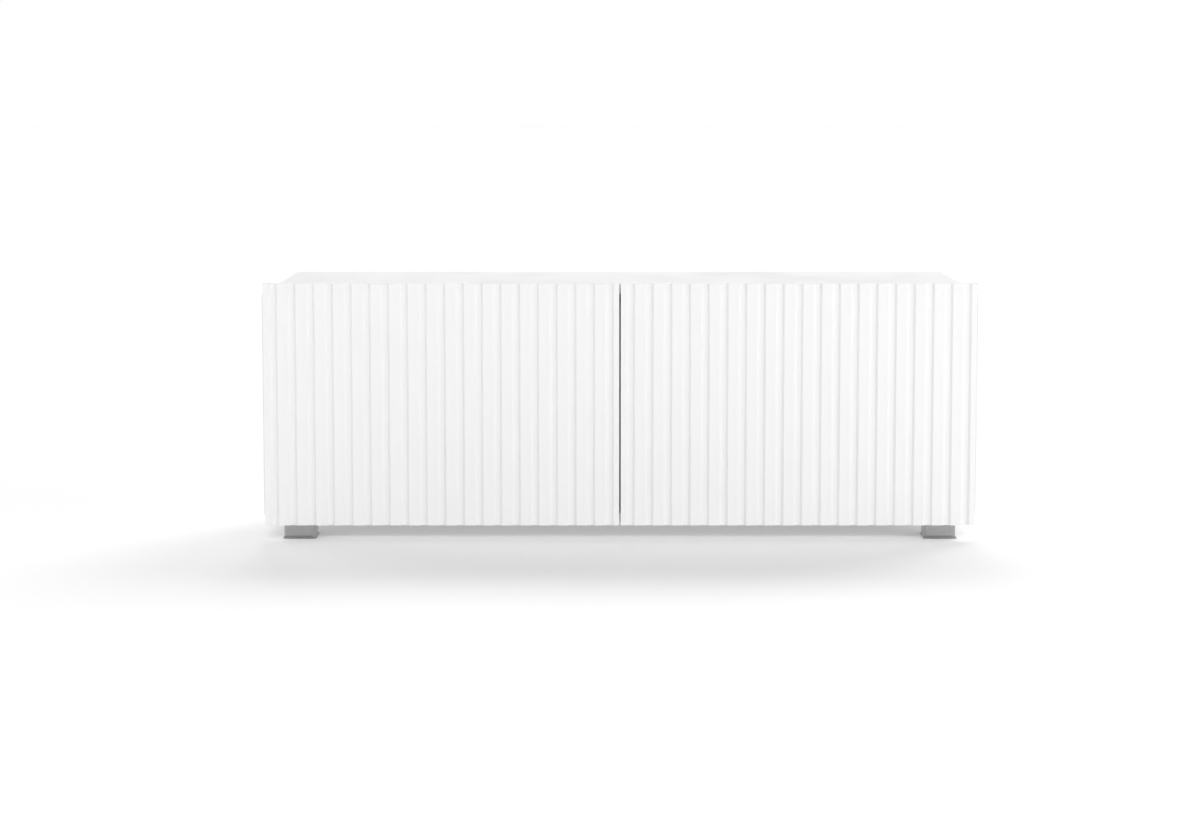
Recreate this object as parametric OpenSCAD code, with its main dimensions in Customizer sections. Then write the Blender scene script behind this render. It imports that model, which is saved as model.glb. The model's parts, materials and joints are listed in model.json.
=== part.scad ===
// TV stand with two fluted doors on four flared metal feet.
// X runs to the right, Y to the back, Z up. The origin is on the floor, under the middle of the stand.

/* [Overall size] */
// Width over the two closed doors, without their edge strips
doors_w = 1500; // [1200:10:1700]
// Depth from the door fronts to the back of the carcass
stand_d = 410; // [360:5:480]
// Height of the carcass, from its underside to its top surface
carcass_h = 510; // [440:5:600]
// Height of the feet with their glides, from the floor to the carcass
foot_h = 34; // [28:1:60]

/* [Panels] */
// Thickness of the top and bottom panels
slab_t = 22; // [20:0.5:30]
// Thickness of the side panels
side_t = 18; // [16:0.5:25]
// Thickness of the centre partition
partition_t = 18; // [18:0.5:25]
// Thickness of the shelves
shelf_t = 18; // [15:0.5:25]
// Thickness of the back panels
back_t = 6; // [4:0.5:8]
// Width of the rebate that the back panels lie in
rebate_w = 9; // [7:0.5:11]
// Distance from the carcass front to the front of the partition
partition_setback = 60; // [30:1:90]
// Distance from the carcass front to the front of the shelves
shelf_setback = 66; // [40:1:100]
// Gap behind the shelves, for cables
shelf_cable_gap = 20; // [10:1:40]
// Radius of the cable hole in each back panel
cable_hole_r = 30; // [20:1:40]
// Height of the cable holes above the bottom panel
cable_hole_z = 80; // [50:1:120]

/* [Doors] */
// Thickness of a door over its raised flats
door_t = 22; // [20:0.5:28]
// Gap between the two closed doors
door_gap = 3.5; // [2:0.5:6]
// How far each door reaches past the side of the carcass
overhang = 34; // [32:1:50]
// How far the doors stand above the top surface and below the underside
door_lap = 1; // [0.5:0.5:3]
// Gap between the backs of the doors and the carcass
door_clear = 2; // [1.6:0.1:3.5]
// Number of channels in each door
channel_n = 19; // [9:1:19]
// Width of a channel at its mouth
channel_mouth = 18.3; // [12:0.1:20]
// Width of a channel at its floor
channel_floor = 9.3; // [4:0.1:11]
// Depth of a channel
channel_depth = 5; // [2:0.5:6]
// Width of the flat between a door's edge and its first channel
edge_flat = 11.3; // [8:0.1:25]
// Thickness of the strip on the outer edge of each door
strip_t = 2; // [1:0.5:3]

/* [Hinges] */
// Height of a hinge
hinge_h = 70; // [50:1:100]
// Distance from the top or bottom of a door to its nearer hinge
hinge_inset = 60; // [40:1:90]
// Width of a leaf, from the pin's axis to its far edge
leaf_w = 25; // [20:0.5:26]
// Thickness of a leaf
leaf_t = 1.5; // [1.2:0.1:2]
// Outer radius of a knuckle
knuckle_r = 4; // [3.5:0.1:4.5]
// Radius of a hinge pin
pin_r = 2; // [1.5:0.1:2.5]

/* [Push latches] */
// Distance from the middle of the stand to a latch
latch_x = 36; // [30:1:60]
// Width of a latch housing
latch_w = 20; // [16:1:26]
// Height of a latch housing
latch_h = 16; // [14:0.5:22]
// Length of a latch housing
latch_l = 64; // [60:1:80]
// Radius of a plunger
plunger_r = 5; // [4:0.1:6]
// Length of a plunger
plunger_l = 34; // [30:1:36]
// How far a plunger pushes the door out
plunger_travel = 14; // [8:1:16]

/* [Feet] */
// Width of the block of a foot
foot_w = 65; // [50:1:90]
// Depth of the block of a foot
foot_d = 80; // [60:1:100]
// Radius of the block's upright corners
foot_corner_r = 4; // [3.5:0.5:10]
// Thickness of the walls of a foot
foot_wall = 3; // [2:0.5:3.5]
// Thickness of the mounting plate at the top of a foot
foot_plate_t = 4; // [3:0.5:6]
// How far the flared base stands out from the block
flare_out = 3.5; // [2:0.1:6]
// Height of the flared base
flare_h = 5.5; // [3:0.5:8]
// Distance from the side of the carcass to the block
foot_side_inset = 2.5; // [2.5:0.5:60]
// Distance from the front and the back of the carcass to the block
foot_end_inset = 6; // [6:0.5:60]
// How far a glide stands below the metal of its foot
glide_drop = 1; // [0.5:0.5:2]

/* [Hidden] */

$fn = 48;
// Clearance of a fixed piece in its hole, and of a pin that turns
fit = 0.05;
// Clearance of a sliding or dropped-in piece, and the gap where two faces nearly touch
slide_fit = 0.08;
rest_gap = 0.1;
touch_gap = 0.3;
// Length by which a cutting shape runs past the face that it cuts
over = 1;

// Turns that bring the Z axis, and so a screw's head, to face left, right, front, back or down
to_left = [0, -90, 0];
to_right = [0, 90, 0];
to_front = [90, 0, 0];
to_back = [-90, 0, 0];
to_down = [180, 0, 0];

// Planes across the depth
door_front_y = -stand_d / 2;
door_back_y = door_front_y + door_t;
front_y = door_back_y + door_clear;
back_y = stand_d / 2;
board_back_y = back_y - back_t;

// Planes across the height
under_z = foot_h;
top_z = foot_h + carcass_h;
floor_z = under_z + slab_t;
ceiling_z = top_z - slab_t;
door_z = under_z - door_lap;
door_h = carcass_h + 2 * door_lap;

// Planes across the width
side_out = doors_w / 2 - overhang;
side_in = side_out - side_t;
partition_in = partition_t / 2;
door_w = (doors_w - door_gap) / 2;

// Screws: shank radius, head radius, head height, length
leaf_screw = [1.6, 3.0, 1.4, 14];
foot_screw = [2.2, 4.2, 2.4, 18];
latch_screw = [1.6, 3.2, 1.6, 14];
back_screw = [1.5, 3.0, 1.8, 16];
tip_l = 3;
socket_share = 0.5;

// Uprights between the bottom and top panels: middle x, thickness, side that its cams face, front y
uprights = [
    [-(side_out + side_in) / 2, side_t, 1, front_y],
    [(side_out + side_in) / 2, side_t, -1, front_y],
    [0, partition_t, -1, front_y + partition_setback]];
cam_r = 7.5;
cam_depth = 12.5;
cam_inset = 34;
cam_end = 45;
cam_bolt_r = 3;
cam_bolt_slab = 11;
cam_bolt_grip = 4;
dowel_r = 4;
dowel_slab = 9;
dowel_upright = 19;
dowel_end = 80;

// Shelf pins, in rows of holes
shelf_pin_r = 2.5;
shelf_pin_out = 8;
shelf_pin_in = 8;
shelf_pin_pitch = 32;
shelf_pin_steps = 2;
shelf_pin_end = 40;
shelf_gap = 1;
shelf_z = (floor_z + ceiling_z - shelf_t) / 2;
shelf_front_y = front_y + shelf_setback;
shelf_back_y = board_back_y - shelf_cable_gap;
shelf_pin_z = shelf_z - shelf_pin_r - rest_gap;
shelf_pin_ys = [shelf_front_y + shelf_pin_end, shelf_back_y - shelf_pin_end];

// Back panels and their screws
back_gap = 0.3;
back_joint = 1;
back_left_x = -side_in - rebate_w + back_gap;
back_low_z = floor_z - rebate_w + back_gap;
back_high_z = ceiling_z + rebate_w - back_gap;
back_screw_end = 60;
cable_hole_x = (side_in + partition_in) / 2;

// Hinges: the pin stands behind the door and outside the carcass
knuckle_clear = 0.5;
knuckle_n = 5;
knuckle_gap = 0.3;
knuckle_h = (hinge_h - (knuckle_n - 1) * knuckle_gap) / knuckle_n;
axis_off = knuckle_r + knuckle_clear;
axis_x = -side_out - axis_off;
axis_y = door_back_y + axis_off;
pin_head_r = 3.2;
pin_head_h = 1.2;
hinge_zs = [door_z + hinge_inset, door_z + door_h - hinge_inset - hinge_h];
leaf_screw_places = [for (k = [-1, 0, 1]) [k == 0 ? leaf_w - 6 : leaf_w - 12, hinge_h / 2 + k * hinge_h / 3]];

// Latches
latch_setback = 1;
latch_back_wall = 6;
latch_ear_w = 11;
latch_ear_l = 16;
latch_ear_t = 4;
latch_ear_y = 22;
latch_z = ceiling_z - latch_h / 2;
latch_front_y = front_y + latch_setback;
latch_bore_end_y = latch_front_y + latch_l - latch_back_wall;
strike_r = 9;
strike_t = 1;
plunger_tip_y = door_back_y + strike_t + touch_gap;
magnet_r = 3.5;
magnet_l = 2.3;
spring_wire_r = 0.5;
spring_r = plunger_r - 1.5;
spring_turns = 7;
spring_steps = 10;
spring_sides = 5;
spring_start_y = plunger_tip_y + plunger_l + rest_gap + spring_wire_r;
spring_end_y = latch_bore_end_y - rest_gap - spring_wire_r;

// Door bumpers
bumper_r = 4;
bumper_t = door_clear - touch_gap;
bumper_x = door_gap / 2 + 20;

// Feet
flare_steps = 4;
foot_x = side_out - foot_side_inset - foot_w / 2;
foot_front_y = front_y + foot_end_inset + foot_d / 2;
foot_rear_y = back_y - foot_end_inset - foot_d / 2;
foot_plate_z = foot_h - foot_plate_t;
glide_h = 6;
foot_screw_in = 10;

// Copies its child to each point, turned so that its Z axis faces the given way
module place(points, turn) {
    for (p = points) translate(p) rotate(turn) children();
}

// Makes its child for the left side or, mirrored, for the right side
module on_side(side) {
    if (side < 0) children();
    else mirror([1, 0, 0]) children();
}

// Countersunk screw with its head's face at z = 0 and its point below
module screw(s) {
    difference() {
        union() {
            translate([0, 0, -s[2]]) cylinder(r1 = s[0], r2 = s[1], h = s[2]);
            translate([0, 0, tip_l - s[3]]) cylinder(r = s[0], h = s[3] - s[2] - tip_l);
            translate([0, 0, -s[3]]) cylinder(r1 = s[0] / 4, r2 = s[0], h = tip_l);
        }
        translate([0, 0, -s[2]]) cylinder(r = s[1] * socket_share, h = s[2] + over, $fn = 6);
    }
}

// Hole and countersink for a screw
module screw_hole(s) {
    translate([0, 0, -s[2]]) cylinder(r1 = s[0] + fit, r2 = s[1] + fit, h = s[2]);
    cylinder(r = s[1] + fit, h = over);
    pilot_hole(s);
}

// Plain pilot hole for a screw's shank
module pilot_hole(s) {
    translate([0, 0, -s[3] - fit]) cylinder(r = s[0] + fit, h = s[3]);
}

// Rectangle with round corners
module rounded_rect(w, d, r) {
    square([w - 2 * r, d], center = true);
    square([w, d - 2 * r], center = true);
    for (x = [-1, 1], y = [-1, 1]) translate([x * (w / 2 - r), y * (d / 2 - r)]) circle(r = r);
}

// ---- Joints between the uprights and the top and bottom panels ----

function cam_ys(u) = [u[3] + cam_end, board_back_y - cam_end];
function dowel_ys(u) = [u[3] + dowel_end, board_back_y - dowel_end];

// Cam bolts of all uprights on the bottom panel (dir = 1) or the top panel (dir = -1), grown by grow
module cam_bolt_set(dir, grow, end_grow) {
    length = cam_bolt_slab + cam_inset - cam_r + cam_bolt_grip + 2 * end_grow;
    z = dir > 0 ? floor_z - cam_bolt_slab - end_grow : ceiling_z + cam_bolt_slab + end_grow - length;
    for (u = uprights, y = cam_ys(u)) translate([u[0], y, z]) cylinder(r = cam_bolt_r + grow, h = length);
}

// Dowels of all uprights on the bottom panel (dir = 1) or the top panel (dir = -1), grown by grow
module dowel_set(dir, grow, end_grow) {
    length = dowel_slab + dowel_upright + 2 * end_grow;
    z = dir > 0 ? floor_z - dowel_slab - end_grow : ceiling_z + dowel_slab + end_grow - length;
    for (u = uprights, y = dowel_ys(u)) translate([u[0], y, z]) cylinder(r = dowel_r + grow, h = length);
}

// Housings of the cams, set into the inner face of each upright
module cam_set(grow) {
    for (u = uprights, y = cam_ys(u), z = [floor_z + cam_inset, ceiling_z - cam_inset])
        translate([u[0] + u[2] * (u[1] / 2 - cam_depth - grow), y, z])
            rotate([0, u[2] * 90, 0]) cylinder(r = cam_r + grow, h = cam_depth + grow + (grow > 0 ? over : 0));
}

module joint_holes() {
    for (dir = [-1, 1]) {
        cam_bolt_set(dir, touch_gap, rest_gap);
        dowel_set(dir, fit, rest_gap);
    }
}

module cam_locks() {
    color("silver") difference() {
        cam_set(0);
        for (dir = [-1, 1]) cam_bolt_set(dir, touch_gap, rest_gap);
        for (u = uprights, y = cam_ys(u), z = [floor_z + cam_inset, ceiling_z - cam_inset])
            translate([u[0] + u[2] * (u[1] / 2 - 3), y, z])
                rotate([0, u[2] * 90, 0]) cylinder(r = 3, h = 3 + over, $fn = 6);
    }
}

module cam_bolts() {
    color("silver") for (dir = [-1, 1]) cam_bolt_set(dir, 0, 0);
}

module wood_dowels() {
    color("burlywood") for (dir = [-1, 1]) dowel_set(dir, 0, 0);
}

// ---- Carcass ----

// Shelf pin holes in the face of a panel at x = face, drilled to the left or to the right (dir)
module shelf_pin_holes(face, dir) {
    for (y = shelf_pin_ys, k = [-shelf_pin_steps:shelf_pin_steps])
        translate([face, y, shelf_pin_z + k * shelf_pin_pitch]) rotate([0, dir * 90, 0])
            translate([0, 0, -over]) cylinder(r = shelf_pin_r + fit, h = shelf_pin_in + fit + over);
}

module slab(z) {
    translate([-side_out, front_y, z]) cube([2 * side_out, back_y - front_y, slab_t]);
}

module rebate() {
    translate([-side_in - rebate_w, board_back_y, floor_z - rebate_w])
        cube([2 * (side_in + rebate_w), back_t + over, ceiling_z - floor_z + 2 * rebate_w]);
}

module top_panel() {
    color("white") difference() {
        slab(ceiling_z);
        rebate();
        joint_holes();
        back_panel_screw_places() pilot_hole(back_screw);
        for (side = [-1, 1]) on_side(side) latch_screw_places() pilot_hole(latch_screw);
    }
}

module bottom_panel() {
    color("white") difference() {
        slab(under_z);
        rebate();
        joint_holes();
        back_panel_screw_places() pilot_hole(back_screw);
        foot_screw_places() pilot_hole(foot_screw);
    }
}

module side_panel() {
    color("white") difference() {
        translate([-side_out, front_y, floor_z]) cube([side_t, back_y - front_y, ceiling_z - floor_z]);
        rebate();
        joint_holes();
        cam_set(fit);
        shelf_pin_holes(-side_in, -1);
        back_panel_screw_places() pilot_hole(back_screw);
        frame_leaf_screw_places() pilot_hole(leaf_screw);
    }
}

module left_side_panel() {
    side_panel();
}

module right_side_panel() {
    mirror([1, 0, 0]) side_panel();
}

module centre_partition() {
    partition_front_y = front_y + partition_setback;
    color("white") difference() {
        translate([-partition_in, partition_front_y, floor_z])
            cube([partition_t, board_back_y - partition_front_y, ceiling_z - floor_z]);
        joint_holes();
        cam_set(fit);
        shelf_pin_holes(-partition_in, 1);
        shelf_pin_holes(partition_in, -1);
        back_panel_screw_places() pilot_hole(back_screw);
    }
}

module shelf() {
    color("white") translate([-side_in + shelf_gap, shelf_front_y, shelf_z])
        cube([side_in - partition_in - 2 * shelf_gap, shelf_back_y - shelf_front_y, shelf_t]);
}

module left_shelf() {
    shelf();
}

module right_shelf() {
    mirror([1, 0, 0]) shelf();
}

module shelf_pins() {
    color("silver") for (y = shelf_pin_ys, end = [-side_in - shelf_pin_in, -partition_in - shelf_pin_out])
        translate([end, y, shelf_pin_z]) rotate(to_right) cylinder(r = shelf_pin_r, h = shelf_pin_in + shelf_pin_out);
}

module left_shelf_pins() {
    shelf_pins();
}

module right_shelf_pins() {
    mirror([1, 0, 0]) shelf_pins();
}

module back_panel() {
    color("gainsboro") difference() {
        translate([back_left_x, board_back_y, back_low_z])
            cube([-back_joint / 2 - back_left_x, back_t, back_high_z - back_low_z]);
        translate([-cable_hole_x, board_back_y - over, floor_z + cable_hole_z])
            rotate(to_back) cylinder(r = cable_hole_r, h = back_t + 2 * over);
        back_panel_screw_places() screw_hole(back_screw);
    }
}

module left_back_panel() {
    back_panel();
}

module right_back_panel() {
    mirror([1, 0, 0]) back_panel();
}

// Screws through both back panels: along the sides and the partition, and along the top and bottom panels
module back_panel_screw_places() {
    edge = rebate_w / 2;
    span = side_in - partition_in;
    low = floor_z + back_screw_end;
    high = ceiling_z - back_screw_end;
    for (side = [-1, 1]) {
        for (x = [side_in + edge, partition_in / 2], z = [low, (low + high) / 2, high])
            place([[side * x, back_y, z]], to_back) children();
        for (x = [partition_in + span / 6, partition_in + span / 2, side_in - span / 6])
            place([[side * x, back_y, floor_z - edge], [side * x, back_y, ceiling_z + edge]], to_back) children();
    }
}

module back_panel_screws() {
    color("silver") back_panel_screw_places() screw(back_screw);
}

// ---- Doors ----

channel_wall = (channel_mouth - channel_floor) / 2;
channel_pitch = (door_w - 2 * edge_flat - channel_mouth) / (channel_n - 1);
channel_points = [for (i = [0:channel_n - 1]) let (x = edge_flat + i * channel_pitch)
    each [[x, 0], [x + channel_wall, channel_depth],
        [x + channel_wall + channel_floor, channel_depth], [x + channel_mouth, 0]]];

// Plan of a door, with the channels cut into its front
module door_plan() {
    polygon(concat([[0, door_t], [0, 0]], channel_points, [[door_w, 0], [door_w, door_t]]));
}

module door() {
    color("white") difference() {
        translate([-doors_w / 2, door_front_y, door_z]) linear_extrude(door_h) door_plan();
        door_leaf_screw_places() pilot_hole(leaf_screw);
    }
}

module left_door() {
    door();
}

module right_door() {
    mirror([1, 0, 0]) door();
}

// Strip on the outer edge of a door, as tall as the side panel behind it
module edge_strip() {
    inset = 1;
    color("whitesmoke") translate([-doors_w / 2 - strip_t, door_front_y + inset, floor_z])
        cube([strip_t, door_t - 2 * inset, ceiling_z - floor_z]);
}

module left_edge_strip() {
    edge_strip();
}

module right_edge_strip() {
    mirror([1, 0, 0]) edge_strip();
}

// ---- Hinges ----

function knuckle_z(k) = k * (knuckle_h + knuckle_gap);

// One leaf on its pin's axis, lying along +X with its mounting face at y = -axis_off
module leaf(knuckles) {
    tab_l = knuckle_r + knuckle_clear;
    difference() {
        union() {
            translate([tab_l, -axis_off, 0]) cube([leaf_w - tab_l, leaf_t, hinge_h]);
            for (k = knuckles) translate([0, 0, knuckle_z(k)]) {
                cylinder(r = knuckle_r, h = knuckle_h);
                translate([0, -axis_off, 0]) cube([tab_l + fit, leaf_t, knuckle_h]);
            }
        }
        translate([0, 0, -over]) cylinder(r = pin_r + fit, h = hinge_h + 2 * over);
        for (p = leaf_screw_places) translate([p[0], leaf_t - axis_off, p[1]])
            rotate(to_back) screw_hole(leaf_screw);
    }
}

// The frame's leaf lies on the outside of the side panel, and the door's leaf on the back of the door
module at_frame_leaf() {
    for (z = hinge_zs) translate([axis_x, axis_y, z]) rotate([0, 0, 90]) children();
}

module at_door_leaf() {
    for (z = hinge_zs) translate([axis_x, axis_y, z]) mirror([1, 0, 0]) children();
}

module leaf_screw_set() {
    for (p = leaf_screw_places) translate([p[0], leaf_t - axis_off, p[1]]) rotate(to_back) children();
}

module frame_leaf_screw_places() {
    at_frame_leaf() leaf_screw_set() children();
}

module door_leaf_screw_places() {
    at_door_leaf() leaf_screw_set() children();
}

module frame_leaves() {
    color("silver") at_frame_leaf() leaf([0, 2, 4]);
}

module left_frame_leaves() {
    frame_leaves();
}

module right_frame_leaves() {
    mirror([1, 0, 0]) frame_leaves();
}

module door_leaves() {
    color("silver") at_door_leaf() leaf([1, 3]);
}

module left_door_leaves() {
    door_leaves();
}

module right_door_leaves() {
    mirror([1, 0, 0]) door_leaves();
}

module hinge_pins() {
    head_z = hinge_h + rest_gap;
    color("silver") for (z = hinge_zs) translate([axis_x, axis_y, z]) {
        translate([0, 0, -rest_gap]) cylinder(r = pin_r, h = hinge_h + 2 * rest_gap);
        for (end = [-rest_gap - pin_head_h, head_z]) translate([0, 0, end]) cylinder(r = pin_head_r, h = pin_head_h);
    }
}

module left_hinge_pins() {
    hinge_pins();
}

module right_hinge_pins() {
    mirror([1, 0, 0]) hinge_pins();
}

module frame_leaf_screws() {
    color("silver") frame_leaf_screw_places() screw(leaf_screw);
}

module left_frame_leaf_screws() {
    frame_leaf_screws();
}

module right_frame_leaf_screws() {
    mirror([1, 0, 0]) frame_leaf_screws();
}

module door_leaf_screws() {
    color("silver") door_leaf_screw_places() screw(leaf_screw);
}

module left_door_leaf_screws() {
    door_leaf_screws();
}

module right_door_leaf_screws() {
    mirror([1, 0, 0]) door_leaf_screws();
}

// ---- Push latches under the top panel ----

module latch_screw_places() {
    ear_x = latch_w / 2 + latch_ear_w / 2;
    ear_y = latch_front_y + latch_ear_y + latch_ear_l / 2;
    place([for (s = [-1, 1]) [s * ear_x - latch_x, ear_y, ceiling_z - latch_ear_t]], to_down) children();
}

module latch_housing() {
    color("lightgray") difference() {
        union() {
            translate([-latch_x - latch_w / 2, latch_front_y, ceiling_z - latch_h]) cube([latch_w, latch_l, latch_h]);
            translate([-latch_x - latch_w / 2 - latch_ear_w, latch_front_y + latch_ear_y, ceiling_z - latch_ear_t])
                cube([latch_w + 2 * latch_ear_w, latch_ear_l, latch_ear_t]);
        }
        translate([-latch_x, latch_bore_end_y, latch_z])
            rotate(to_front) cylinder(r = plunger_r + slide_fit, h = latch_bore_end_y - latch_front_y + over);
        latch_screw_places() screw_hole(latch_screw);
    }
}

module left_latch_housing() {
    latch_housing();
}

module right_latch_housing() {
    mirror([1, 0, 0]) latch_housing();
}

module latch_plunger() {
    color("gray") translate([-latch_x, plunger_tip_y, latch_z]) rotate(to_back) difference() {
        cylinder(r = plunger_r, h = plunger_l);
        translate([0, 0, -over]) cylinder(r = magnet_r + fit, h = magnet_l + rest_gap + over);
    }
}

module left_latch_plunger() {
    latch_plunger();
}

module right_latch_plunger() {
    mirror([1, 0, 0]) latch_plunger();
}

module latch_magnet() {
    color("dimgray") translate([-latch_x, plunger_tip_y, latch_z]) rotate(to_back) cylinder(r = magnet_r, h = magnet_l);
}

module left_latch_magnet() {
    latch_magnet();
}

module right_latch_magnet() {
    mirror([1, 0, 0]) latch_magnet();
}

// Spring behind a plunger: a round wire swept along a helix whose axis is Y
spring_n = spring_turns * spring_steps;
function spring_point(i, j) =
    let (a = 360 * i / spring_steps, b = 360 * j / spring_sides, r = spring_r + spring_wire_r * cos(b))
    [r * cos(a), spring_start_y + (spring_end_y - spring_start_y) * i / spring_n + spring_wire_r * sin(b), r * sin(a)];

module latch_spring() {
    points = [for (i = [0:spring_n], j = [0:spring_sides - 1]) spring_point(i, j)];
    rings = [for (i = [0:spring_n - 1], j = [0:spring_sides - 1]) let (k = (j + 1) % spring_sides, m = i * spring_sides)
        [m + j, m + k, m + spring_sides + k, m + spring_sides + j]];
    caps = [[for (j = [spring_sides - 1:-1:0]) j], [for (j = [0:spring_sides - 1]) spring_n * spring_sides + j]];
    color("silver") translate([-latch_x, 0, latch_z]) polyhedron(points, concat(rings, caps), convexity = 8);
}

module left_latch_spring() {
    latch_spring();
}

module right_latch_spring() {
    mirror([1, 0, 0]) latch_spring();
}

module latch_screws() {
    color("silver") for (side = [-1, 1]) on_side(side) latch_screw_places() screw(latch_screw);
}

module strike_plate() {
    color("silver") translate([-latch_x, door_back_y, latch_z]) rotate(to_back) cylinder(r = strike_r, h = strike_t);
}

module left_strike_plate() {
    strike_plate();
}

module right_strike_plate() {
    mirror([1, 0, 0]) strike_plate();
}

module door_bumpers() {
    color("lightgray") for (x = [-bumper_x, bumper_x], z = [under_z + slab_t / 2, top_z - slab_t / 2])
        place([[x, front_y, z]], to_front) cylinder(r = bumper_r, h = bumper_t);
}

// ---- Feet ----

function flare_z(k) = glide_drop + flare_h * k / flare_steps;
function flare_grow(k) = flare_out * (1 - sin(90 * k / flare_steps));

module foot_screw_set() {
    dx = foot_w / 2 - foot_wall - foot_screw_in;
    dy = foot_d / 2 - foot_wall - foot_screw_in;
    for (x = [-dx, dx], y = [-dy, dy]) translate([x, y, foot_plate_z]) rotate(to_down) children();
}

// Thin slice of the flared base, grown past the block by grow
module flare_slice(z, grow) {
    slice_t = 0.01;
    translate([0, 0, z]) linear_extrude(slice_t)
        rounded_rect(foot_w + 2 * grow, foot_d + 2 * grow, foot_corner_r + grow, $fn = 32);
}

module foot() {
    difference() {
        union() {
            translate([0, 0, glide_drop]) linear_extrude(foot_h - glide_drop) rounded_rect(foot_w, foot_d, foot_corner_r);
            for (k = [0:flare_steps - 1]) hull() {
                flare_slice(flare_z(k), flare_grow(k));
                flare_slice(flare_z(k + 1), flare_grow(k + 1));
            }
        }
        linear_extrude(foot_plate_z) foot_pocket(0);
        foot_screw_set() screw_hole(foot_screw);
    }
}

// Plan of the hollow inside a foot, drawn in by a gap
module foot_pocket(gap) {
    inset = foot_wall + gap;
    rounded_rect(foot_w - 2 * inset, foot_d - 2 * inset, foot_corner_r - inset / 2);
}

foot_places = [[-foot_x, foot_front_y, 0], [foot_x, foot_front_y, 0],
    [-foot_x, foot_rear_y, 0], [foot_x, foot_rear_y, 0]];

module front_left_foot() {
    color("silver") translate(foot_places[0]) foot();
}

module front_right_foot() {
    color("silver") translate(foot_places[1]) foot();
}

module rear_left_foot() {
    color("silver") translate(foot_places[2]) foot();
}

module rear_right_foot() {
    color("silver") translate(foot_places[3]) foot();
}

module foot_glides() {
    color("dimgray") for (p = foot_places) translate(p) linear_extrude(glide_h) foot_pocket(rest_gap);
}

module foot_screw_places() {
    for (p = foot_places) translate(p) foot_screw_set() children();
}

module foot_screws() {
    color("silver") foot_screw_places() screw(foot_screw);
}

top_panel();
bottom_panel();
left_side_panel();
right_side_panel();
centre_partition();
left_shelf();
right_shelf();
left_back_panel();
right_back_panel();
left_door();
right_door();
left_edge_strip();
right_edge_strip();
left_frame_leaves();
right_frame_leaves();
left_door_leaves();
right_door_leaves();
left_hinge_pins();
right_hinge_pins();
left_frame_leaf_screws();
right_frame_leaf_screws();
left_door_leaf_screws();
right_door_leaf_screws();
left_latch_housing();
right_latch_housing();
left_latch_plunger();
right_latch_plunger();
left_latch_magnet();
right_latch_magnet();
left_latch_spring();
right_latch_spring();
left_strike_plate();
right_strike_plate();
latch_screws();
door_bumpers();
front_left_foot();
front_right_foot();
rear_left_foot();
rear_right_foot();
foot_glides();
foot_screws();
left_shelf_pins();
right_shelf_pins();
cam_locks();
cam_bolts();
wood_dowels();
back_panel_screws();
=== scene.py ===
# %% [markdown]
# # A TV stand with two fluted doors
# The stand is a low white cabinet on four flared metal feet. Two doors, cut with upright channels, cover its
# whole front. The shapes come from the CAD model, so this lesson is about finishes: how lacquered board,
# coated chipboard, brushed steel, zinc and moulded plastic differ, and how soft light shows a white object
# on a white floor.

# %% Load the frame
import json
import math

import bpy
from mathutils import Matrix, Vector


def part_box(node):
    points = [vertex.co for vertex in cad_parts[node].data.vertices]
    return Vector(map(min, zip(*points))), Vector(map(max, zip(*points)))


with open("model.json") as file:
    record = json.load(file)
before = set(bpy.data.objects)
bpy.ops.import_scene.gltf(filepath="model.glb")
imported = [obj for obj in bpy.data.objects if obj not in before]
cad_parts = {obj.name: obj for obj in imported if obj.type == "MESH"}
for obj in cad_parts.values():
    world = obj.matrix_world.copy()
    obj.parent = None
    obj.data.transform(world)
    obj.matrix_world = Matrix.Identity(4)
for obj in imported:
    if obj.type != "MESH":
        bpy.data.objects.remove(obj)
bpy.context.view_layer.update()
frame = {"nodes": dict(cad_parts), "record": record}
nodes = frame["nodes"]
MM = 0.001

# %% [markdown]
# ## The camera
# A long lens, far back and a little above the stand, keeps the doors nearly square and still shows a sliver
# of the top. It stands slightly left of the middle and looks straight along the depth, so the left and
# right edges keep the same size. Its place is given in metres from the middle of the stand and from the
# front and the top of the doors.

# %% Place the camera
scene = bpy.context.scene
door_low, door_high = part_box("left_door")
door_front_y, door_top_z = door_low.y, door_high.z

LENS = 91.0  # mm
SENSOR_WIDTH = 36.0  # mm
FARTHEST_SEEN = 200.0  # m
CAMERA_BACK = 6.353
CAMERA_LEFT = 0.0421
CAMERA_ABOVE_TOP = 0.420
CAMERA_DOWN = math.radians(6.28)

camera_data = bpy.data.cameras.new("camera")
camera_data.lens = LENS
camera_data.sensor_width = SENSOR_WIDTH
camera_data.clip_end = FARTHEST_SEEN
camera = bpy.data.objects.new("camera", camera_data)
camera.location = (-CAMERA_LEFT, door_front_y - CAMERA_BACK, door_top_z + CAMERA_ABOVE_TOP)
camera.rotation_euler = (math.radians(90) - CAMERA_DOWN, 0, 0)
scene.collection.objects.link(camera)
scene.camera = camera
print("camera at", [round(v, 3) for v in camera.location])

# %% [markdown]
# ## Colours and nodes
# Colours are written as they would be picked on a screen, in sRGB hex, and Blender's shaders work in linear
# light, so one function turns one into the other. A second function adds a shader node, gives it its
# settings and connects it, which keeps each finish below down to what is special about it.

# %% Helpers for finishes
NOISE_LOW, NOISE_HIGH = 0.3, 0.7  # nearly all noise lies between these


def linear(hex_colour):
    """An sRGB colour such as 'F4F4F2' as linear red, green, blue and alpha."""
    channels = [int(hex_colour[i:i + 2], 16) / 255 for i in (0, 2, 4)]
    return [c / 12.92 if c <= 0.04045 else ((c + 0.055) / 1.055) ** 2.4 for c in channels] + [1.0]


def add_node(tree, kind, settings, inputs):
    """Adds a node. An input that is another node's output is linked, and any other value is set."""
    node = tree.nodes.new(kind)
    for name, value in settings.items():
        setattr(node, name, value)
    for name, value in inputs.items():
        if isinstance(value, bpy.types.NodeSocket):
            tree.links.new(value, node.inputs[name])
        else:
            node.inputs[name].default_value = value
    return node


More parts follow.
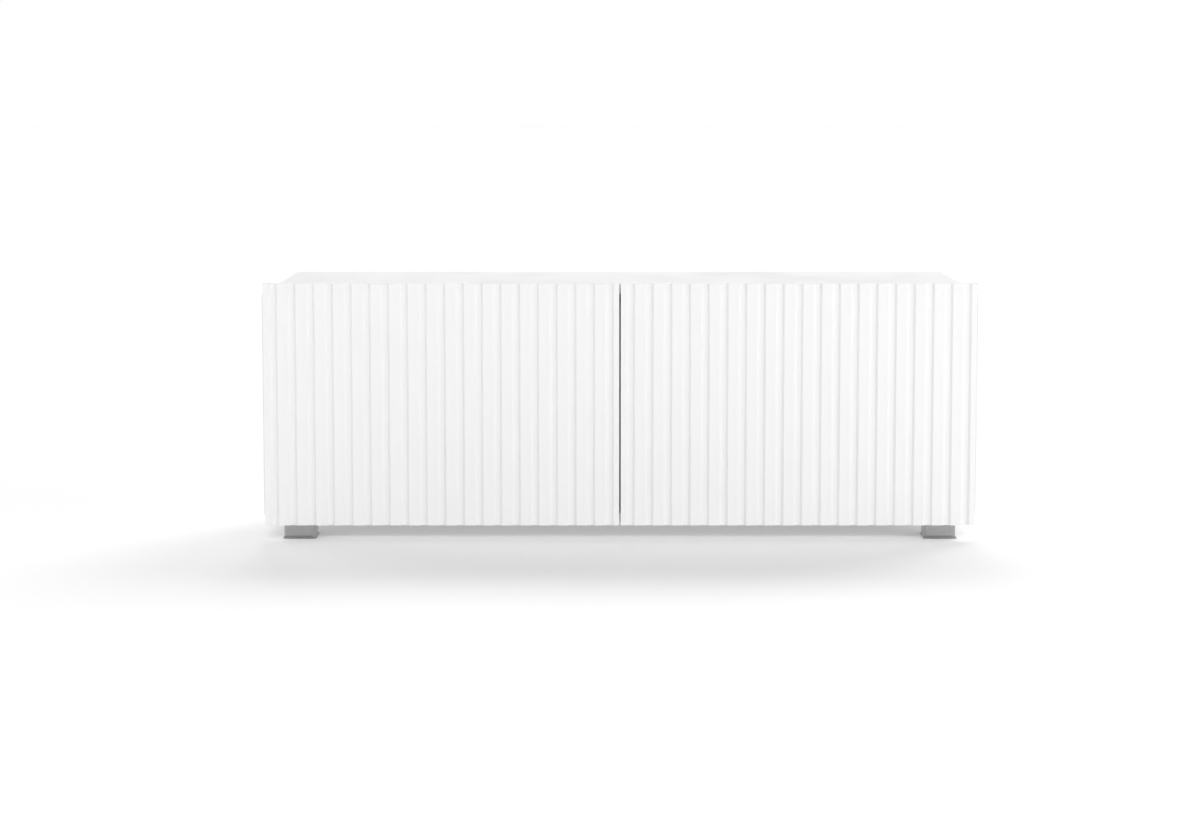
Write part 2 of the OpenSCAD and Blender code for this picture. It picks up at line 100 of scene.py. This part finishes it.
def new_finish(name, colour, **sockets):
    """A material whose shader has this colour and these socket values."""
    material = bpy.data.materials.new(name)
    material.use_nodes = True
    shader = material.node_tree.nodes["Principled BSDF"]
    shader.inputs["Base Color"].default_value = linear(colour)
    for socket, value in sockets.items():
        shader.inputs[socket.replace("_", " ")].default_value = value
    return material, material.node_tree, shader


def grain(tree, size_mm, stretch=(1, 1, 1), detail=2.0):
    """Noise whose spots are about size_mm across, longer along an axis where stretch is above 1."""
    place = add_node(tree, "ShaderNodeTexCoord", {}, {})
    scale = [1 / s for s in stretch]
    mapping = add_node(tree, "ShaderNodeMapping", {}, {"Vector": place.outputs["Object"], "Scale": scale})
    noise = add_node(tree, "ShaderNodeTexNoise", {}, {
        "Vector": mapping.outputs["Vector"], "Scale": 1 / (size_mm * MM), "Detail": detail})
    return noise.outputs["Fac"]


def spread(tree, value, low, high):
    """Turns noise, which stays near a half, into a number between low and high."""
    spread_node = add_node(tree, "ShaderNodeMapRange", {}, {
        "Value": value, "From Min": NOISE_LOW, "From Max": NOISE_HIGH, "To Min": low, "To Max": high})
    return spread_node.outputs["Result"]


def tint(tree, value, dark, light):
    """A colour between two sRGB colours, chosen by value."""
    mix = add_node(tree, "ShaderNodeMix", {"data_type": "RGBA"}, {"Factor": value})
    mix.inputs["A"].default_value = linear(dark)
    mix.inputs["B"].default_value = linear(light)
    return mix.outputs["Result"]


def raise_surface(tree, shader, height, depth_mm, strength=1.0):
    """Bump whose full height is depth_mm."""
    bump = add_node(tree, "ShaderNodeBump", {}, {
        "Height": height, "Distance": depth_mm * MM, "Strength": strength})
    tree.links.new(bump.outputs["Normal"], shader.inputs["Normal"])


print("a mid grey is", [round(v, 3) for v in linear("808080")])

# %% [markdown]
# ## White lacquer on fibreboard
# The doors, top, bottom and sides are medium-density fibreboard sprayed with a satin white lacquer. Lacquer
# is a clear skin over white pigment, so it reflects like plastic, with an index of refraction near 1.5. Being
# sprayed, it dries with a faint ripple a few millimetres across, called orange peel, and its sheen varies a
# little over a hand's width. A glossy coat layer could add the skin, but on a satin finish one rough
# reflection gives the same look with less noise.

# %% Satin lacquer
def satin_lacquer(name):
    material, tree, shader = new_finish(name, "F2F2F2", Roughness=0.38, IOR=1.5)
    sheen_patches = grain(tree, 120, detail=3)
    tree.links.new(spread(tree, sheen_patches, 0.34, 0.42), shader.inputs["Roughness"])
    tree.links.new(tint(tree, grain(tree, 60), "F1F1F1", "F3F3F3"), shader.inputs["Base Color"])
    raise_surface(tree, shader, grain(tree, 2.5, detail=1), 0.002)
    return material


white_lacquer = satin_lacquer("satin_white_lacquer")
print("made", white_lacquer.name)

# %% [markdown]
# ## Melamine on chipboard
# The shelves and the partition are chipboard faced with white melamine paper. The press plate leaves a fine
# pearl texture, so it is duller than the lacquer and sparkles less. The true pearls are about half a
# millimetre across. They are drawn at one millimetre, so that they don't vanish between the render's pixels.

# %% Melamine
def melamine(name):
    material, tree, shader = new_finish(name, "EFEFED", Roughness=0.55, IOR=1.5)
    tree.links.new(tint(tree, grain(tree, 30, detail=4), "EEEEEC", "F1F1EF"), shader.inputs["Base Color"])
    raise_surface(tree, shader, grain(tree, 1.0), 0.02)
    return material


white_melamine = melamine("white_melamine")
print("made", white_melamine.name)

# %% [markdown]
# ## Coated hardboard
# The back panels are hardboard with a thin white print on it. Hardboard is pressed wet fibre, and its short
# fibres show through the print as faint streaks. They lie every way, so two stretched noises are mixed.

# %% Coated hardboard
def coated_hardboard(name):
    material, tree, shader = new_finish(name, "E8E7E3", Roughness=0.7, IOR=1.45)
    across = grain(tree, 1.2, stretch=(8, 1, 1))
    upright = grain(tree, 1.2, stretch=(1, 1, 8))
    fibres = add_node(tree, "ShaderNodeMath", {"operation": "MAXIMUM"}, {0: across, 1: upright})
    tree.links.new(tint(tree, spread(tree, fibres.outputs["Value"], 0, 1), "E3E2DD", "EBEAE7"),
                   shader.inputs["Base Color"])
    raise_surface(tree, shader, fibres.outputs["Value"], 0.03)
    return material


hardboard = coated_hardboard("white_coated_hardboard")
print("made", hardboard.name)

# %% [markdown]
# ## Metals
# Brushed steel is covered in fine parallel scratches. They scatter light sideways and leave long soft
# streaks. Here the brushing runs level round each foot, so the noise is stretched along X and Y and stays
# fine in Z. Real brush lines are about a tenth of a millimetre apart. They are drawn at four tenths, so that
# they show. Zinc plating on screws is smoother, a little blue, and dulls in patches. Die-cast zinc is greyer,
# with a sandy skin.

# %% Steel and zinc
def brushed_steel(name, colour, roughness):
    material, tree, shader = new_finish(name, colour, Metallic=1.0, Roughness=roughness)
    brush = grain(tree, 0.4, stretch=(60, 60, 1), detail=3)
    tree.links.new(spread(tree, brush, roughness - 0.06, roughness + 0.08), shader.inputs["Roughness"])
    raise_surface(tree, shader, brush, 0.01)
    return material


def plated_zinc(name):
    material, tree, shader = new_finish(name, "C3C6CA", Metallic=1.0, Roughness=0.32)
    patches = grain(tree, 3, detail=3)
    tree.links.new(tint(tree, patches, "B9BCC1", "CBCDD0"), shader.inputs["Base Color"])
    tree.links.new(spread(tree, patches, 0.26, 0.40), shader.inputs["Roughness"])
    return material


def cast_zinc_skin(name):
    material, tree, shader = new_finish(name, "A6A6A8", Metallic=1.0, Roughness=0.48)
    raise_surface(tree, shader, grain(tree, 0.5), 0.03)
    return material


foot_steel = brushed_steel("brushed_foot_steel", "B4B4B5", 0.27)
hinge_steel = brushed_steel("brushed_hinge_steel", "D0D0CF", 0.26)
zinc_steel = plated_zinc("zinc_plated_steel")
cast_zinc = cast_zinc_skin("die_cast_zinc")
print("made", foot_steel.name, hinge_steel.name, zinc_steel.name, cast_zinc.name)

# %% [markdown]
# ## Powder coat
# The strip on each door's outer edge is aluminium with a baked powder coat. The powder melts into a skin
# that is matter than lacquer, with a texture like fine leather about a millimetre across.

# %% Powder coat
def powder_coat(name):
    material, tree, shader = new_finish(name, "E4E4E4", Roughness=0.5, IOR=1.5)
    raise_surface(tree, shader, grain(tree, 1.0), 0.02)
    return material


edge_coat = powder_coat("white_powder_coat")
print("made", edge_coat.name)

# %% [markdown]
# ## Plastics and rubber
# The latch housings are moulded ABS and the plungers acetal, which is slippery and slightly waxy. Their
# moulds are spark-eroded, which leaves a fine even roughness. The glides are black nylon, scuffed by the
# floor. The bumpers are clear soft polyurethane, a little milky, so that only part of the light passes
# through. The magnets have a dull nickel skin.

# %% Moulded plastics
def moulded_plastic(name, dark, light, roughness, texture_mm):
    material, tree, shader = new_finish(name, light, Roughness=roughness, IOR=1.5)
    tree.links.new(tint(tree, grain(tree, 8, detail=4), dark, light), shader.inputs["Base Color"])
    raise_surface(tree, shader, grain(tree, texture_mm), 0.02)
    return material


def clear_polyurethane(name):
    material, tree, shader = new_finish(name, "E9EAEA", Roughness=0.25, IOR=1.5, Transmission_Weight=0.3)
    raise_surface(tree, shader, grain(tree, 1.5), 0.02)
    return material


def nickel_skin(name):
    material, tree, shader = new_finish(name, "8C8A86", Metallic=1.0, Roughness=0.35)
    tree.links.new(spread(tree, grain(tree, 1.0), 0.3, 0.42), shader.inputs["Roughness"])
    return material


housing_abs = moulded_plastic("grey_abs", "D2D3D3", "DADBDB", 0.45, 0.8)
plunger_acetal = moulded_plastic("dark_acetal", "55585A", "606365", 0.35, 0.8)
glide_nylon = moulded_plastic("black_nylon", "1C1C1C", "2A2A2A", 0.55, 0.8)
bumper_soft = clear_polyurethane("clear_polyurethane")
magnet_nickel = nickel_skin("dull_nickel")
print("made", housing_abs.name, plunger_acetal.name, glide_nylon.name)

# %% [markdown]
# ## Beech
# The dowels are turned beech. They are hidden once the stand is together, but they show when it is taken
# apart: a warm wood with fine straight grain along the dowel and short darker flecks.

# %% Beech
def turned_beech(name):
    material, tree, shader = new_finish(name, "D2AA78", Roughness=0.6, IOR=1.45)
    flecks = grain(tree, 0.7, stretch=(1, 1, 10), detail=4)
    tree.links.new(tint(tree, spread(tree, flecks, 0, 1), "C0935E", "DDB98C"), shader.inputs["Base Color"])
    raise_surface(tree, shader, flecks, 0.05)
    return material


beech = turned_beech("turned_beech")
print("made", beech.name)

# %% [markdown]
# ## Every node gets its finish
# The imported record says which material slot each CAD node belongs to, so the finish is chosen by slot.

# %% Put the finishes on
FINISH_OF_SLOT = {
    "white_lacquer": white_lacquer, "white_melamine": white_melamine, "back_board": hardboard,
    "edge_aluminium": edge_coat, "hinge_steel": hinge_steel, "zinc_steel": zinc_steel,
    "cast_zinc": cast_zinc, "latch_plastic": housing_abs, "plunger_plastic": plunger_acetal,
    "magnet": magnet_nickel, "bumper_rubber": bumper_soft, "foot_steel": foot_steel,
    "glide_plastic": glide_nylon, "beech": beech}
for part in frame["record"]["subparts"]:
    piece = nodes[part["node"]]
    piece.data.materials.clear()
    piece.data.materials.append(FINISH_OF_SLOT[part["material_slot"]])

# %% [markdown]
# ## Soft edges
# No made edge is perfectly sharp. Board is sanded before it is sprayed, which rounds its edges by about half
# a millimetre. Melamine banding is rounded about as much, and a hinge leaf much less. A bevel modifier rounds
# each edge at render time and leaves the CAD mesh alone. The CAD meshes are triangles, so a planar decimate
# first joins the flat ones, or the bevel would have no clean edges to follow. Curved walls are shaded smooth
# up to 30 degrees.

# %% Round the edges
SMOOTH_ANGLE = math.radians(30)
FLAT_ANGLE = math.radians(0.5)


def smooth_curves(piece):
    """Shades curved walls smooth and keeps the edges above SMOOTH_ANGLE sharp."""
    piece.data.shade_smooth()
    piece.data.set_sharp_from_angle(angle=SMOOTH_ANGLE)


def round_edges(piece, width_mm, segments):
    """Joins flat triangles, then bevels each edge that is left."""
    flat = piece.modifiers.new("join_flat_faces", "DECIMATE")
    flat.decimate_type = "DISSOLVE"
    flat.angle_limit = FLAT_ANGLE
    bevel = piece.modifiers.new("round_edges", "BEVEL")
    bevel.width = width_mm * MM
    bevel.segments = segments
    bevel.limit_method = "ANGLE"
    bevel.angle_limit = SMOOTH_ANGLE
    bevel.harden_normals = True


# Each slot's bevel width in millimetres and its number of segments
EDGE_OF_SLOT = {
    "white_lacquer": (0.6, 2), "white_melamine": (0.5, 2), "back_board": (0.3, 1),
    "edge_aluminium": (0.4, 2), "hinge_steel": (0.15, 1), "latch_plastic": (0.4, 2),
    "foot_steel": (0.5, 2), "glide_plastic": (0.5, 2)}
for part in frame["record"]["subparts"]:
    piece, slot = nodes[part["node"]], part["material_slot"]
    smooth_curves(piece)
    if slot in EDGE_OF_SLOT:
        round_edges(piece, *EDGE_OF_SLOT[slot])
print("rounded the edges of", sum(1 for o in nodes.values() if o.modifiers), "nodes")

# %% [markdown]
# ## A glowing floor
# The stand is white on a white sweep. A white floor under lights is grey wherever a shadow falls, and in a
# studio the sweep itself throws light back up under the object. A floor that glows a little does both: in
# the open its glow and its lit colour add up to white, and in the shadow only the glow is left, which fixes
# how dark the shadow can get. The floor is matt, so it holds no reflection of the stand.

# %% Pale floor
FLOOR_HALF = 60.0
FLOOR_GLOW = 0.19


def make_floor():
    mesh = bpy.data.meshes.new("floor")
    corners = [(-FLOOR_HALF, -FLOOR_HALF, 0), (FLOOR_HALF, -FLOOR_HALF, 0),
               (FLOOR_HALF, FLOOR_HALF, 0), (-FLOOR_HALF, FLOOR_HALF, 0)]
    mesh.from_pydata(corners, [], [(0, 1, 2, 3)])
    floor = bpy.data.objects.new("floor", mesh)
    material, _, _ = new_finish("matt_white_floor", "E7E7E7", Roughness=1.0, Specular_IOR_Level=0.0,
                                Emission_Color=linear("FFFFFF"), Emission_Strength=FLOOR_GLOW)
    mesh.materials.append(material)
    scene.collection.objects.link(floor)


make_floor()
print("floor is", 2 * FLOOR_HALF, "m square and glows at", FLOOR_GLOW)

# %% [markdown]
# ## Soft studio light
# Large soft lights and a dim white room light the stand. An area light beside the stand would show its own
# outline on the floor, so most lights here are suns: their rays come from one direction, and a sun's angle is
# how wide it looks from the stand, which sets how soft its shadows are. Three stand behind, at 35 to 40
# degrees, and throw the wide soft shadow that lies in front. The strongest of them is on the right, so the
# shadow drifts to the left. The front and the right ones light the doors. The front one is the narrowest, so
# that more of it reaches into the gap between the doors. A disc that narrow would mirror as a hot line in the
# bright metal of the feet, so it is hidden from glossy rays. One softbox stands close on the right, and since
# a near light falls off with distance, the doors are brighter at their right ends. The camera sees the room
# as white, so that the floor and the sky meet without a line.

# %% Room
ROOM_LIGHT = 0.3
scene.view_settings.view_transform = "Standard"
world = bpy.data.worlds.new("white_room")
world.use_nodes = True
room = world.node_tree.nodes["Background"]
room.inputs["Color"].default_value = linear("FFFFFF")
seen = add_node(world.node_tree, "ShaderNodeLightPath", {}, {})
level = add_node(world.node_tree, "ShaderNodeMapRange", {}, {
    "Value": seen.outputs["Is Camera Ray"], "To Min": ROOM_LIGHT, "To Max": 1.0})
world.node_tree.links.new(level.outputs["Result"], room.inputs["Strength"])
scene.world = world
print("room light", ROOM_LIGHT)

# %% Suns
def soft_sun(name, bearing, height, width, level):
    """A sun seen at this bearing, in degrees from straight behind towards the right, and this height.
    At level 1 it lights a white sheet that faces it to full white."""
    data = bpy.data.lights.new(name, "SUN")
    data.angle = math.radians(width)
    data.energy = level * math.pi
    turn, rise = math.radians(bearing), math.radians(height)
    towards = Vector((math.sin(turn) * math.cos(rise), math.cos(turn) * math.cos(rise), math.sin(rise)))
    light = bpy.data.objects.new(name, data)
    light.rotation_euler = (-towards).to_track_quat("-Z", "Y").to_euler()
    scene.collection.objects.link(light)
    return light


# Name, bearing, height and width in degrees, and level
LIGHTS = [
    soft_sun("back_right_light", 30, 35, 30, 0.42),
    soft_sun("back_light", 0, 40, 20, 0.26),
    soft_sun("back_left_light", -40, 35, 30, 0.205),
    soft_sun("right_light", 120, 20, 30, 0.11),
    soft_sun("front_light", 180, 25, 12, 0.385)]
front_light = LIGHTS[-1]
front_light.visible_glossy = False
print("suns", [light.name for light in LIGHTS])

# %% Softbox on the right
def softbox(name, place, size, watts):
    """A square area light that faces the middle of the doors."""
    data = bpy.data.lights.new(name, "AREA")
    data.shape = "SQUARE"
    data.size = size
    data.energy = watts
    light = bpy.data.objects.new(name, data)
    light.location = place
    aim = Vector((0, 0, door_top_z / 2)) - light.location
    light.rotation_euler = aim.to_track_quat("-Z", "Y").to_euler()
    light.visible_camera = False
    scene.collection.objects.link(light)
    return light


LIGHTS.append(softbox("right_softbox", (3.0, -2.0, 1.2), 1.5, 11))
print("softbox at", [round(v, 2) for v in LIGHTS[-1].location])
